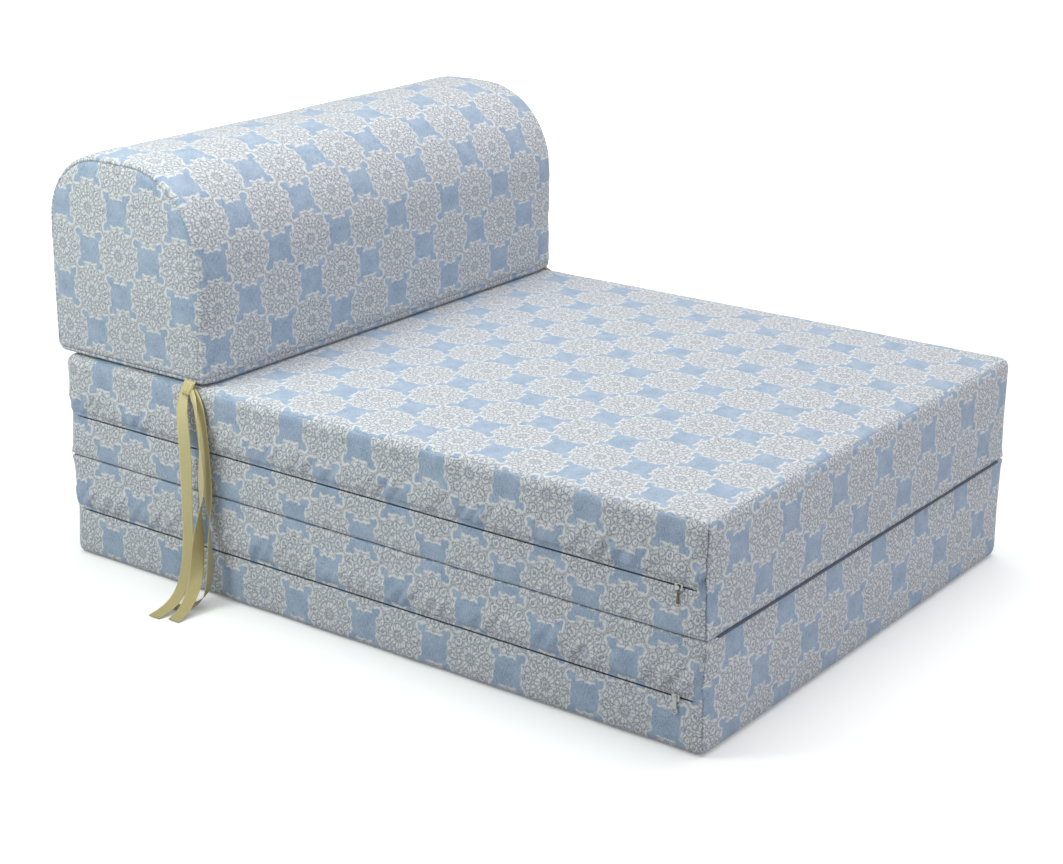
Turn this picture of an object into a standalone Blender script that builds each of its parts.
# Folding chair bed. Two zipped foam slabs lie on each other as the seat, and a round-topped foam
# backrest stands on the rear of the upper one. The upper slab folds forward about the front seam and
# the backrest folds back about the rear seam, which turns the chair into a flat bed with a bolster.
# Metres, +Z up. The chair faces -Y, and the origin is on the floor under the middle of its outline.

import math

import bmesh
import bpy
from mathutils import Vector

# Main sizes
SEAT_WIDTH = 0.650
SLAB_DEPTH = 0.880
SLAB_HEIGHT = 0.122
SLAB_EDGE_RADIUS = 0.012
SEAT_CROWN = 0.005
LOWER_SEAM_HEIGHT = 0.056
UPPER_SEAM_HEIGHT = 0.049
SIDE_DRAW = 0.003
CORNER_DRAW = 0.003
CORNER_END_SHARE = 0.3
BACKREST_DEPTH = 0.238
BACKREST_HEIGHT = 0.240
BACKREST_OVERHANG = 0.012
FRONT_TOP_RADIUS = 0.105
REAR_TOP_RADIUS = 0.085
FRONT_BASE_RADIUS = 0.010
REAR_BASE_RADIUS = 0.014
END_BULGE = 0.004
END_DRAW = 0.003
END_DRAW_ZONE = 0.028
CLOTH = 0.001

# Clearances
TOUCH = 0.0003
FOAM_GAP = 0.0007
FOLD_GAP = 0.0005

# Concealed zips
ZIP_SLOT = 0.0032
ZIP_END_MARGIN = 0.019
TAPE_OVERRUN = 0.002
TAPE_WIDTH = 0.011
TAPE_THICKNESS = 0.0006
COIL_SIZE = 0.0011
COIL_LANE = 0.0022
STOP_LENGTH = 0.003
SLIDER_SETBACK = 0.009
SLIDER_LENGTH = 0.009
SLIDER_POST_LENGTH = 0.006
SLIDER_WIDTH = 0.007
SLIDER_PLATE = 0.0012
SLIDER_CLEAR = 0.0006
SLIDER_POST = 0.0013
SLIDER_HEEL = 0.0006
SLIDER_OVERRUN = 0.0004
SLIDER_EDGE_RADIUS = 0.0004
PIN_RADIUS = 0.0010
PIN_HEAD_RADIUS = 0.0021
PIN_HEAD = 0.0005
PULL_THICKNESS = 0.0009
PULL_LENGTH = 0.020
PULL_WIDTH = 0.0052
PULL_EYE_RADIUS = 0.0015
ZIP_ROOM = 0.0042
BACKREST_ZIP_HEIGHT = 0.032
BACKREST_ZIP_MARGIN = 0.040

# Hinge strips sewn into the two fold seams
LEAF_THICKNESS = 0.0005
LEAF_SIDE_MARGIN = 0.020

# Ribbon ties
RIBBON_WIDTH = 0.016
RIBBON_THICKNESS = 0.0006
RIBBON_STEP = 0.009
TIE_SETBACK = 0.022
TAB_WIDTH = 0.019
TAB_HEIGHT = 0.010
TAB_LIFT = 0.0015
TAB_THICKNESS = 0.0012

# Levels and planes that follow from the sizes
FRONT = -(SLAB_DEPTH + BACKREST_OVERHANG) / 2
REAR = FRONT + SLAB_DEPTH
SIDE = SEAT_WIDTH / 2
UPPER_BASE = SLAB_HEIGHT + TOUCH
SEAT_TOP = UPPER_BASE + SLAB_HEIGHT
BACK_BASE = SEAT_TOP + TOUCH
BACK_TOP = BACK_BASE + BACKREST_HEIGHT
BACK_REAR = REAR + BACKREST_OVERHANG
BACK_FRONT = BACK_REAR - BACKREST_DEPTH
END_RIM = SIDE - END_BULGE
SLIDER_PROUD = SLIDER_CLEAR + SLIDER_PLATE
FRONT_AXIS = Vector((0, FRONT - FOLD_GAP, SLAB_HEIGHT + TOUCH / 2))
REAR_AXIS = Vector((0, REAR + (BACKREST_OVERHANG + SLIDER_PROUD) / 2 + FOLD_GAP, SEAT_TOP + TOUCH / 2))

# Colours, roughness and metallic value of each finish
FINISHES = {
    "printed_cloth": ((0.56, 0.61, 0.66, 1), 0.9, 0.0),
    "foam": ((0.86, 0.82, 0.66, 1), 0.95, 0.0),
    "zip_tape": ((0.45, 0.52, 0.60, 1), 0.85, 0.0),
    "zip_coil": ((0.35, 0.40, 0.46, 1), 0.5, 0.0),
    "zip_metal": ((0.42, 0.36, 0.26, 1), 0.35, 1.0),
    "ribbon": ((0.62, 0.56, 0.30, 1), 0.6, 0.0),
    "hinge_cloth": ((0.30, 0.33, 0.37, 1), 0.9, 0.0),
}


def clear_scene():
    for item in list(bpy.data.objects):
        bpy.data.objects.remove(item)


def new_collection(name):
    group = bpy.data.collections.new(name)
    bpy.context.scene.collection.children.link(group)
    return group


clear_scene()
PARTS = new_collection("chair_bed")
CUTTERS = new_collection("cutters")


def finish_of(node, kind):
    colour, roughness, metallic = FINISHES[kind]
    material = bpy.data.materials.new(node + "_" + kind)
    material.use_nodes = True
    shader = material.node_tree.nodes["Principled BSDF"]
    shader.inputs["Base Color"].default_value = colour
    shader.inputs["Roughness"].default_value = roughness
    shader.inputs["Metallic"].default_value = metallic
    return material


def axis_empty(name, place, parent=None):
    """A joint's axis as an empty, which carries the pieces of its body."""
    empty = bpy.data.objects.new(name, None)
    PARTS.objects.link(empty)
    set_parent(empty, parent, place)
    return empty


def set_parent(item, parent, place):
    """Puts the object's origin at a place in the world, under its parent."""
    item["origin"] = tuple(place)
    carrier = Vector(parent["origin"]) if parent else Vector()
    item.parent = parent
    item.location = Vector(place) - carrier


def new_part(name, grid, kind, parent=None, origin=(0, 0, 0), smooth=True):
    """Makes a named node from a bmesh in world places, with its origin moved to its axis."""
    mesh = bpy.data.meshes.new(name)
    bmesh.ops.translate(grid, verts=grid.verts, vec=-Vector(origin))
    grid.to_mesh(mesh)
    grid.free()
    if smooth:
        mesh.shade_smooth()
        mesh.set_sharp_from_angle(angle=math.radians(35))
    mesh.materials.append(finish_of(name, kind))
    item = bpy.data.objects.new(name, mesh)
    PARTS.objects.link(item)
    set_parent(item, parent, origin)
    return item


def new_cutter(name, grid):
    mesh = bpy.data.meshes.new(name)
    grid.to_mesh(mesh)
    grid.free()
    item = bpy.data.objects.new(name, mesh)
    CUTTERS.objects.link(item)
    item.hide_render = True
    item.display_type = "WIRE"
    return item


def box(low, high):
    grid = bmesh.new()
    bmesh.ops.create_cube(grid, size=1)
    low, high = Vector(low), Vector(high)
    bmesh.ops.scale(grid, verts=grid.verts, vec=high - low)
    bmesh.ops.translate(grid, verts=grid.verts, vec=(low + high) / 2)
    return grid


def cut(item, cutter):
    modifier = item.modifiers.new("cut_" + cutter.name, "BOOLEAN")
    modifier.operation = "DIFFERENCE"
    modifier.object = cutter


def join(item, other):
    modifier = item.modifiers.new("join_" + other.name, "BOOLEAN")
    modifier.operation = "UNION"
    modifier.object = other


def round_edges(item, radius, segments):
    modifier = item.modifiers.new("rounded_edges", "BEVEL")
    modifier.width = radius
    modifier.segments = segments
    modifier.limit_method = "ANGLE"
    modifier.angle_limit = math.radians(50)


def wall(item, thickness):
    modifier = item.modifiers.new("cloth", "SOLIDIFY")
    modifier.thickness = thickness
    modifier.offset = -1
    modifier.use_even_offset = True


def cushion_box(low, high, cells, seam_height, crown):
    """A block cut into a grid. Its sides draw in to the seam at its height, its ends draw in at the
    corners, and its top rises by the crown between the front edge and the backrest."""
    grid = box(low, high)
    low, high = Vector(low), Vector(high)
    span = high - low
    places = [low + Vector((span.x * step / cells[0], 0, 0)) for step in range(1, cells[0])]
    places += [low + Vector((0, span.y * step / cells[1], 0)) for step in range(1, cells[1])]
    lifts = (seam_height / 2, seam_height, (seam_height + span.z) / 2)
    places += [low + Vector((0, 0, lift)) for lift in lifts]
    for place in places:
        whole = grid.verts[:] + grid.edges[:] + grid.faces[:]
        normal = (place - low).normalized()
        bmesh.ops.bisect_plane(grid, geom=whole, plane_co=place, plane_no=normal)
    middle = (low + high) / 2
    for vert in grid.verts:
        across = 2 * (vert.co.x - middle.x) / span.x
        along = 2 * (vert.co.y - middle.y) / span.y
        lift = vert.co.z - low.z
        seam = min(lift / seam_height, (span.z - lift) / (span.z - seam_height))
        seat = (vert.co.y - FRONT) / (BACK_FRONT - FRONT)
        if abs(across) > 0.999:
            vert.co.x -= math.copysign(SIDE_DRAW * seam, across)
        if abs(along) > 0.999:
            drawn = CORNER_END_SHARE + (1 - CORNER_END_SHARE) * seam
            vert.co.y -= math.copysign(CORNER_DRAW * across**2 * drawn, along)
        if vert.co.z > high.z - TOUCH and seat < 1:
            vert.co.z += crown * (1 - across**2) * (1 - (2 * seat - 1) ** 2)
    return grid


def outline(inset):
    """(y, z) points of the backrest's end, from the front of its base over the top to the rear of its
    base, drawn in by the inset."""
    corners = (
        (BACK_FRONT + FRONT_BASE_RADIUS, BACK_BASE + FRONT_BASE_RADIUS, FRONT_BASE_RADIUS, 270, 3),
        (BACK_FRONT + FRONT_TOP_RADIUS, BACK_TOP - FRONT_TOP_RADIUS, FRONT_TOP_RADIUS, 180, 7),
        (BACK_REAR - REAR_TOP_RADIUS, BACK_TOP - REAR_TOP_RADIUS, REAR_TOP_RADIUS, 90, 7),
        (BACK_REAR - REAR_BASE_RADIUS, BACK_BASE + REAR_BASE_RADIUS, REAR_BASE_RADIUS, 0, 3),
    )
    points = []
    for y, z, radius, start, steps in corners:
        for step in range(steps + 1):
            turn = math.radians(start - 90 * step / steps)
            reach = radius - inset
            points.append((y + reach * math.cos(turn), z + reach * math.sin(turn)))
    return points


def bent_grid(rows):
    """A flat grid whose points are bent to the given rows of places."""
    grid = bmesh.new()
    last_row, last_place = len(rows) - 1, len(rows[0]) - 1
    bmesh.ops.create_grid(grid, x_segments=last_row, y_segments=last_place, size=0.5)
    for vert in grid.verts:
        row = round((vert.co.x + 0.5) * last_row)
        place = round((vert.co.y + 0.5) * last_place)
        vert.co = rows[row][place]
    return grid


def backrest_rows(half_width, inset, base=False, closed=False, cells=4):
    """Rows of places across the backrest, flat in the middle and drawn in over each end's last part."""
    flat = half_width - END_DRAW_ZONE
    stations = [flat * (2 * step / cells - 1) for step in range(cells + 1)]
    steps = (1 / 3, 2 / 3, 1)
    stations = [-flat - END_DRAW_ZONE * step for step in reversed(steps)] + stations
    stations += [flat + END_DRAW_ZONE * step for step in steps]
    rows = []
    for x in stations:
        share = max(0, abs(x) - flat) / END_DRAW_ZONE
        points = outline(inset + END_DRAW * share**2)
        if base:
            points = [points[-1], points[0]]
        if closed:
            points = points + points[:1]
        rows.append([Vector((x, y, z)) for y, z in points])
    return rows


def end_panel(name, side, parent):
    """The crowned cloth at one end of the backrest, sewn to the wrap round its rim."""
    grid = bmesh.new()
    rim = [grid.verts.new((side * END_RIM, y, z)) for y, z in outline(END_DRAW)]
    face = grid.faces.new(rim)
    face.normal_update()
    if face.normal.x * side < 0:
        face.normal_flip()
    middle = bmesh.ops.poke(grid, faces=[face])["verts"][0]
    spokes = middle.link_edges[:]
    bmesh.ops.subdivide_edges(grid, edges=spokes, cuts=2)
    half_depth, half_height = BACKREST_DEPTH / 2, BACKREST_HEIGHT / 2
    centre_y, centre_z = BACK_FRONT + half_depth, BACK_BASE + half_height
    for vert in grid.verts:
        if vert in rim:
            continue
        along = (vert.co.y - centre_y) / half_depth
        up = (vert.co.z - centre_z) / half_height
        vert.co.x += side * END_BULGE * max(0, 1 - along**2) * max(0, 1 - up**2)
    panel = new_part(name, grid, "printed_cloth", parent, REAR_AXIS)
    wall(panel, CLOTH)
    return panel


class Zip:
    """Places for one zip: its line's middle on the cloth's outer face, the direction in which the
    slider travels and the direction out of the cloth. Up is always +Z across the zip."""

    def __init__(self, name, middle, travel, out, length):
        self.name = name
        self.middle = Vector(middle)
        self.travel = Vector(travel)
        self.out = Vector(out)
        self.half = length / 2

    def place(self, along, out, up):
        return self.middle + self.travel * along + self.out * out + Vector((0, 0, up))

    def box(self, along, out, up):
        """A box between two values in each of the zip's own directions."""
        one = self.place(along[0], out[0], up[0])
        two = self.place(along[1], out[1], up[1])
        low = [min(a, b) for a, b in zip(one, two)]
        high = [max(a, b) for a, b in zip(one, two)]
        return box(low, high)


TAPE_OUT = (-CLOTH - TOUCH - TAPE_THICKNESS, -CLOTH - TOUCH)
COIL_OUT = (TAPE_OUT[0] - TOUCH - COIL_SIZE, TAPE_OUT[0] - TOUCH)
HEEL_OUT = (COIL_OUT[0] - TOUCH - SLIDER_HEEL, COIL_OUT[0] - TOUCH)
PLATE_OUT = (SLIDER_CLEAR, SLIDER_CLEAR + SLIDER_PLATE)
PULL_OUT = (PLATE_OUT[1] + TOUCH, PLATE_OUT[1] + TOUCH + PULL_THICKNESS)
HEAD_OUT = (PULL_OUT[1] + TOUCH, PULL_OUT[1] + TOUCH + PIN_HEAD)


def zip_slot(fastener):
    """The cutter that opens the cloth along the zip."""
    reach = CLOTH + SIDE_DRAW
    slot = fastener.box(
        (-fastener.half, fastener.half), (-reach, reach), (-ZIP_SLOT / 2, ZIP_SLOT / 2)
    )
    return new_cutter(fastener.name + "_slot", slot)


def zip_rows(fastener, parent, origin):
    """Two tapes behind the cloth, a row of teeth on each tape's edge, and a stop past each end."""
    half = fastener.half + TAPE_OVERRUN
    rows_half = fastener.half - STOP_LENGTH - TOUCH
    for name, side in (("top", 1), ("bottom", -1)):
        tape = fastener.box((-half, half), TAPE_OUT, (side * COIL_LANE / 2, side * TAPE_WIDTH))
        new_part(fastener.name + "_tape_" + name, tape, "zip_tape", parent, origin, smooth=False)
        teeth = (side * COIL_LANE / 2, side * (COIL_LANE / 2 + COIL_SIZE))
        coil = fastener.box((-rows_half, rows_half), COIL_OUT, teeth)
        row = new_part(fastener.name + "_teeth_" + name, coil, "zip_coil", parent, origin)
        round_edges(row, COIL_SIZE / 4, 1)
    reach = COIL_LANE / 2 + COIL_SIZE
    for name, side in (("first", -1), ("last", 1)):
        ends = (side * (fastener.half - STOP_LENGTH), side * fastener.half)
        stop = fastener.box(ends, COIL_OUT, (-reach, reach))
        stop_name = fastener.name + "_" + name + "_stop"
        new_part(stop_name, stop, "zip_metal", parent, origin, smooth=False)


def zip_slider(fastener, parent, along, has_pull):
    """An outer plate and an inner heel joined by a post that runs between the rows of teeth. On the
    seat's zips a headed pin on the plate carries the pull."""
    origin = fastener.place(along, 0, 0)
    span = (along - SLIDER_LENGTH / 2, along + SLIDER_LENGTH / 2)
    post_span = (along - SLIDER_POST_LENGTH / 2, along + SLIDER_POST_LENGTH / 2)
    width = (-SLIDER_WIDTH / 2, SLIDER_WIDTH / 2)
    post_width = (-SLIDER_POST / 2, SLIDER_POST / 2)
    overrun = SLIDER_OVERRUN
    slider = new_part(
        fastener.name + "_slider", fastener.box(span, PLATE_OUT, width), "zip_metal", parent, origin
    )
    round_edges(slider, SLIDER_EDGE_RADIUS, 2)
    post_out = (HEEL_OUT[0] + overrun, PLATE_OUT[0] + overrun)
    join(slider, new_cutter(fastener.name + "_post", fastener.box(post_span, post_out, post_width)))
    join(slider, new_cutter(fastener.name + "_heel", fastener.box(post_span, HEEL_OUT, width)))
    if has_pull:
        pin = turned(fastener, along, (PLATE_OUT[1] - overrun, HEAD_OUT[0] + overrun / 2), PIN_RADIUS)
        head = turned(fastener, along, HEAD_OUT, PIN_HEAD_RADIUS)
        join(slider, new_cutter(fastener.name + "_pin", pin))
        join(slider, new_cutter(fastener.name + "_pin_head", head))
    return slider


def turned(fastener, along, out, radius):
    """A short cylinder that stands out of the cloth."""
    grid = bmesh.new()
    bmesh.ops.create_cone(
        grid, cap_ends=True, segments=16, radius1=radius, radius2=radius, depth=out[1] - out[0]
    )
    turn = fastener.out.to_track_quat("Z", "Y").to_matrix()
    bmesh.ops.rotate(grid, verts=grid.verts, cent=(0, 0, 0), matrix=turn)
    bmesh.ops.translate(grid, verts=grid.verts, vec=fastener.place(along, sum(out) / 2, 0))
    return grid


def zip_pull(fastener, parent, along):
    """A flat pull that hangs from the slider's pin by its eye, with a finger hole at its free end."""
    origin = fastener.place(along, sum(PULL_OUT) / 2, 0)
    outer = PULL_WIDTH / 2
    drop = PULL_LENGTH - 2 * outer
    rim = [(outer * math.cos(a), outer * math.sin(a)) for a in arc(0, 180, 8)]
    rim += [(outer * math.cos(a), outer * math.sin(a) - drop) for a in arc(180, 360, 8)]
    eye = [(PULL_EYE_RADIUS * math.cos(a), PULL_EYE_RADIUS * math.sin(a)) for a in arc(0, 330, 11)]
    hole = [(x, y - drop) for x, y in eye]
    curve = bpy.data.curves.new(fastener.name + "_pull", "CURVE")
    curve.dimensions = "2D"
    curve.fill_mode = "BOTH"
    curve.extrude = PULL_THICKNESS / 2
    for points in (rim, eye, hole):
        spline = curve.splines.new("POLY")
        spline.points.add(len(points) - 1)
        for point, (x, y) in zip(spline.points, points):
            point.co = (x, y, 0, 1)
        spline.use_cyclic_u = True
    curve.materials.append(finish_of(fastener.name + "_pull", "zip_metal"))
    pull = bpy.data.objects.new(fastener.name + "_pull", curve)
    PARTS.objects.link(pull)
    set_parent(pull, parent, origin)
    pull.rotation_euler = fastener.out.to_track_quat("Z", "Y").to_euler()
    return pull


def arc(start, end, steps):
    return [math.radians(start + (end - start) * step / steps) for step in range(steps + 1)]


def leaf(name, low, high, parent, origin):
    return new_part(name, box(low, high), "hinge_cloth", parent, origin, smooth=False)


def leaf_reach(radius):
    """How far a hinge leaf runs in from a rounded edge before the cloth under it is in the way."""
    drop = LEAF_THICKNESS + 2 * TOUCH
    return radius - math.sqrt(radius**2 - (radius - drop) ** 2)


def slab(prefix, base, seam_height, parent, origin, crown):
    """One zipped slab: cloth cover with a slot for the zip, foam core, and the zip behind the slot."""
    low = Vector((-SIDE, FRONT, base))
    high = Vector((SIDE, REAR, base + SLAB_HEIGHT))
    cover_grid = cushion_box(low, high, (6, 8), seam_height, crown)
    cover = new_part(prefix + "_cover", cover_grid, "printed_cloth", parent, origin)
    round_edges(cover, SLAB_EDGE_RADIUS, 3)
    wall(cover, CLOTH)
    inset = CLOTH + FOAM_GAP
    foam_low = low + Vector((inset + ZIP_ROOM, inset, inset))
    foam_high = high - Vector((inset, inset, inset))
    foam_grid = cushion_box(foam_low, foam_high, (4, 8), seam_height - inset, crown)
    foam = new_part(prefix + "_foam", foam_grid, "foam", parent, origin)
    round_edges(foam, SLAB_EDGE_RADIUS - inset, 2)
    middle = (-SIDE + SIDE_DRAW, (FRONT + REAR) / 2, base + seam_height)
    length = SLAB_DEPTH - 2 * ZIP_END_MARGIN
    fastener = Zip(prefix + "_zip", middle, (0, 1, 0), (-1, 0, 0), length)
    cut(cover, zip_slot(fastener))
    zip_rows(fastener, parent, origin)
    parked = -fastener.half + STOP_LENGTH + SLIDER_LENGTH / 2 + SLIDER_SETBACK
    slider = zip_slider(fastener, parent, parked, has_pull=True)
    zip_pull(fastener, slider, parked)


def front_leaves(upper):
    """The strip that joins both slabs along their front edges, as one leaf on each side of the fold."""
    inner = FRONT + leaf_reach(SLAB_EDGE_RADIUS)
    outer = FRONT_AXIS.y + TOUCH / 2
    wide = SIDE - LEAF_SIDE_MARGIN
    level = FRONT_AXIS.z
    half = TOUCH / 2
    leaf(
        "front_hinge_lower_leaf",
        (-wide, outer, level - half - LEAF_THICKNESS),
        (wide, inner, level - half),
        None,
        (0, 0, 0),
    )
    leaf(
        "front_hinge_upper_leaf",
        (-wide, outer, level + half),
        (wide, inner, level + half + LEAF_THICKNESS),
        upper,
        FRONT_AXIS,
    )


def rear_leaves(upper, back):
    """The strip that joins the upper slab and the backrest along their rear edges."""
    wide = SIDE - LEAF_SIDE_MARGIN
    level = REAR_AXIS.z
    half = TOUCH / 2
    outer = REAR_AXIS.y - TOUCH / 2
    leaf(
        "rear_hinge_slab_leaf",
        (-wide, REAR - leaf_reach(SLAB_EDGE_RADIUS), level - half - LEAF_THICKNESS),
        (wide, outer, level - half),
        upper,
        FRONT_AXIS,
    )
    leaf(
        "rear_hinge_backrest_leaf",
        (-wide, BACK_REAR - leaf_reach(REAR_BASE_RADIUS), level + half),
        (wide, outer, level + half + LEAF_THICKNESS),
        back,
        REAR_AXIS,
    )


def backrest(parent):
    """Foam core, a wrap over the front, top and rear, two end panels, a base panel and a rear zip."""
    wrap_half = END_RIM - CLOTH - TOUCH
    wrap_grid = bent_grid(backrest_rows(wrap_half, 0))
    wrap = new_part("backrest_wrap", wrap_grid, "printed_cloth", parent, REAR_AXIS)
    wall(wrap, CLOTH)
    base_grid = bent_grid(base_rows(wrap_half))
    base = new_part("backrest_base", base_grid, "printed_cloth", parent, REAR_AXIS)
    wall(base, CLOTH)
    end_panel("backrest_left_end", -1, parent)
    end_panel("backrest_right_end", 1, parent)
    middle = (0, BACK_REAR, BACK_BASE + BACKREST_ZIP_HEIGHT)
    length = SEAT_WIDTH - 2 * BACKREST_ZIP_MARGIN
    fastener = Zip("backrest_zip", middle, (1, 0, 0), (0, 1, 0), length)
    cut(wrap, zip_slot(fastener))
    zip_rows(fastener, parent, REAR_AXIS)
    parked = fastener.half - STOP_LENGTH - SLIDER_LENGTH / 2 - SLIDER_SETBACK
    zip_slider(fastener, parent, parked, has_pull=False)
    return backrest_foam(wrap_half - FOAM_GAP, parent)


def base_rows(half_width):
    """The base panel's rows, which stop short of the wrap's two lower edges."""
    rows = backrest_rows(half_width, 0, base=True)
    for row in rows:
        row[0].y -= TOUCH
        row[1].y += TOUCH
    return rows


def backrest_foam(half_width, parent):
    """The foam core. It stands clear of the zip's slider behind the rear wall."""
    grid = bent_grid(backrest_rows(half_width, CLOTH + FOAM_GAP, closed=True, cells=2))
    bmesh.ops.remove_doubles(grid, verts=grid.verts, dist=TOUCH / 10)
    open_edges = [edge for edge in grid.edges if edge.is_boundary]
    bmesh.ops.holes_fill(grid, edges=open_edges, sides=0)
    limit = BACK_REAR - ZIP_ROOM - CLOTH - FOAM_GAP
    for vert in grid.verts:
        vert.co.y = min(vert.co.y, limit)
    return new_part("backrest_foam", grid, "foam", parent, REAR_AXIS)


# Each tail's route by hand: how far it stands out of the seat's side, how far it lies behind the
# tie's middle, its height, how its width turns from along the side, and how its width lifts.
TAIL_ROUTES = {
    "rear": (
        (-0.0005, 0.0030, 0.2500, 0, 0),
        (-0.0003, 0.0042, 0.2455, 0, 0),
        (0.0018, 0.0052, 0.2405, 0, 0),
        (0.0070, 0.0022, 0.2330, 0, 0),
        (0.0110, 0.0008, 0.2225, 0, 0),
        (0.0140, -0.0018, 0.2095, 5, 0),
        (0.0155, -0.0045, 0.1930, 8, 0),
        (0.0165, -0.0062, 0.1675, 8, 0),
        (0.0180, -0.0072, 0.1385, 4, 0),
        (0.0205, -0.0090, 0.1075, 0, 0),
        (0.0240, -0.0120, 0.0795, 0, 0),
        (0.0295, -0.0148, 0.0550, 0, 0),
        (0.0360, -0.0158, 0.0345, 0, 0),
        (0.0430, -0.0155, 0.0205, 0, 0),
        (0.0540, -0.0150, 0.0105, 0, 0),
        (0.0680, -0.0140, 0.0045, 0, 0),
        (0.0820, -0.0115, 0.0008, 0, 0),
    ),
    "middle": (
        (0.0004, -0.0010, 0.2500, 0, 0),
        (0.0012, -0.0030, 0.2458, 0, 0),
        (0.0045, -0.0085, 0.2400, -10, 0),
        (0.0085, -0.0145, 0.2340, -20, 0),
        (0.0120, -0.0200, 0.2260, -32, 0),
        (0.0140, -0.0245, 0.2135, -42, 0),
        (0.0150, -0.0275, 0.1945, -42, 0),
        (0.0155, -0.0290, 0.1720, -34, 0),
        (0.0165, -0.0290, 0.1490, -22, 0),
        (0.0175, -0.0282, 0.1285, -28, 0),
        (0.0190, -0.0272, 0.1110, -54, 0),
        (0.0210, -0.0262, 0.0875, -85, 0),
        (0.0245, -0.0268, 0.0670, -105, 0),
        (0.0300, -0.0290, 0.0450, -130, 0),
        (0.0375, -0.0318, 0.0285, -155, 0),
        (0.0480, -0.0345, 0.0165, -172, 0),
        (0.0570, -0.0352, 0.0085, -180, 0),
        (0.0660, -0.0355, 0.0035, -180, 0),
        (0.0760, -0.0360, 0.0008, -180, 0),
    ),
    "front": (
        (-0.0014, -0.0015, 0.2500, 0, 0),
        (-0.0010, -0.0035, 0.2458, 0, 0),
        (0.0004, -0.0080, 0.2410, 0, 0),
        (0.0025, -0.0130, 0.2345, 0, 0),
        (0.0042, -0.0180, 0.2225, 0, 0),
        (0.0048, -0.0212, 0.2060, 0, 0),
        (0.0050, -0.0236, 0.1835, 0, 0),
        (0.0054, -0.0256, 0.1545, 0, 0),
        (0.0066, -0.0280, 0.1260, -10, 0),
        (0.0098, -0.0310, 0.1005, -36, 0),
        (0.0130, -0.0342, 0.0815, -54, 0),
        (0.0166, -0.0375, 0.0625, -66, 0),
        (0.0205, -0.0405, 0.0470, -72, 0),
        (0.0240, -0.0415, 0.0310, -72, 0),
        (0.0275, -0.0380, 0.0150, -66, 0),
        (0.0335, -0.0300, 0.0050, -60, 0),
        (0.0415, -0.0200, 0.0016, -56, 0),
        (0.0490, -0.0110, 0.0008, -54, 0),
    ),
}
GATHER_LENGTH = 0.030
GATHER_SHARE = 0.66


def smooth_route(points):
    """Places along a smooth curve through the route's points, about one ribbon step apart."""
    route = [Vector(point) for point in zip(*list(zip(*points))[:3])]
    turns = [point[3:] for point in points]
    samples = []
    for index in range(len(route) - 1):
        before = route[max(index - 1, 0)]
        start, end = route[index], route[index + 1]
        after = route[min(index + 2, len(route) - 1)]
        steps = max(1, round((end - start).length / RIBBON_STEP))
        for step in range(steps):
            share = step / steps
            place = 0.5 * (
                2 * start
                + (end - before) * share
                + (2 * before - 5 * start + 4 * end - after) * share**2
                + (3 * start - before - 3 * end + after) * share**3
            )
            angles = [a + (b - a) * share for a, b in zip(turns[index], turns[index + 1])]
            samples.append((place, angles))
    samples.append((route[-1], turns[-1]))
    return samples


def ribbon_tail(name, points, side, parent):
    """A flat ribbon along a route, gathered to a narrow neck at its sewn end."""
    rows = []
    gone = 0
    last = None
    for place, (turn, lift) in smooth_route(points):
        gone += (place - last).length if last else 0
        last = place
        gathered = max(0, 1 - gone / GATHER_LENGTH)
        half = RIBBON_WIDTH / 2 * (1 - (1 - GATHER_SHARE) * gathered)
        turn, lift = math.radians(turn), math.radians(lift)
        across = Vector((math.sin(turn) * math.cos(lift), math.cos(turn) * math.cos(lift), math.sin(lift)))
        row = []
        for share in (-1, 0, 1):
            out, along, up = place + across * half * share
            row.append(Vector((side * (SIDE + out), BACK_FRONT + TIE_SETBACK + along, up)))
        rows.append(row)
    tail = new_part(name, bent_grid(rows), "ribbon", parent, REAR_AXIS)
    modifier = tail.modifiers.new("ribbon", "SOLIDIFY")
    modifier.thickness = RIBBON_THICKNESS
    modifier.offset = 0
    return tail


def tie(name, side, parent):
    """A tie: a folded tab sewn low on the backrest's end, with three ribbon tails hanging from it."""
    middle = BACK_FRONT + TIE_SETBACK
    base = BACK_BASE + TAB_LIFT
    inner = END_RIM + TOUCH + CLOTH / 2
    faces = sorted((side * inner, side * (inner + TAB_THICKNESS)))
    low = (faces[0], middle - TAB_WIDTH / 2, base)
    high = (faces[1], middle + TAB_WIDTH / 2, base + TAB_HEIGHT)
    new_part(name + "_tab", box(low, high), "ribbon", parent, REAR_AXIS, smooth=False)
    for place, points in TAIL_ROUTES.items():
        ribbon_tail(name + "_" + place + "_tail", points, side, parent)


def build():
    upper = axis_empty("front_fold_axis", FRONT_AXIS)
    back = axis_empty("back_fold_axis", REAR_AXIS, upper)
    slab("lower", 0, LOWER_SEAM_HEIGHT, None, (0, 0, 0), 0)
    slab("upper", UPPER_BASE, UPPER_SEAM_HEIGHT, upper, FRONT_AXIS, SEAT_CROWN)
    front_leaves(upper)
    rear_leaves(upper, back)
    backrest(back)
    tie("left_tie", -1, back)
    tie("right_tie", 1, back)


build()
